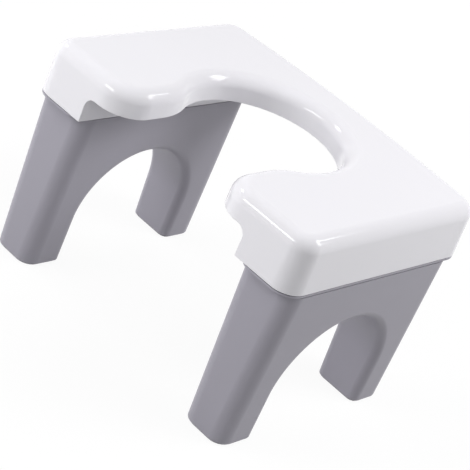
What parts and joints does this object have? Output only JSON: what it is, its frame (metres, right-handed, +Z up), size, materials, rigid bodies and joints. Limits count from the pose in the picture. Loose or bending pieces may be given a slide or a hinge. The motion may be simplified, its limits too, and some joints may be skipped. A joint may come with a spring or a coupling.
{
  "type": "toilet stool",
  "caption": "U-shaped seat stool that stands over a squat toilet, with an open-fronted white seat on grey arched legs with rubber foot pads.",
  "frame": {"origin": "on the floor, under the middle of the seat's outline", "axes": "+Z up, +X to the sitter's left with the open side of the U towards -Y"},
  "size_m": [0.46, 0.3425, 0.299],
  "materials": {
    "seat_plastic": "glossy white moulding",
    "leg_plastic": "satin grey moulding",
    "foot_rubber": "matt grey rubber",
    "screw_steel": "zinc-plated steel"
  },
  "bodies": {
    "root": {"seat_shell": "seat_plastic", "left_leg": "leg_plastic", "right_leg": "leg_plastic", "front_left_foot_pad": "foot_rubber", "rear_left_foot_pad": "foot_rubber", "front_right_foot_pad": "foot_rubber", "rear_right_foot_pad": "foot_rubber", "front_left_screw": "screw_steel", "rear_left_screw": "screw_steel", "front_right_screw": "screw_steel", "rear_right_screw": "screw_steel"}
  },
  "joints": []
}
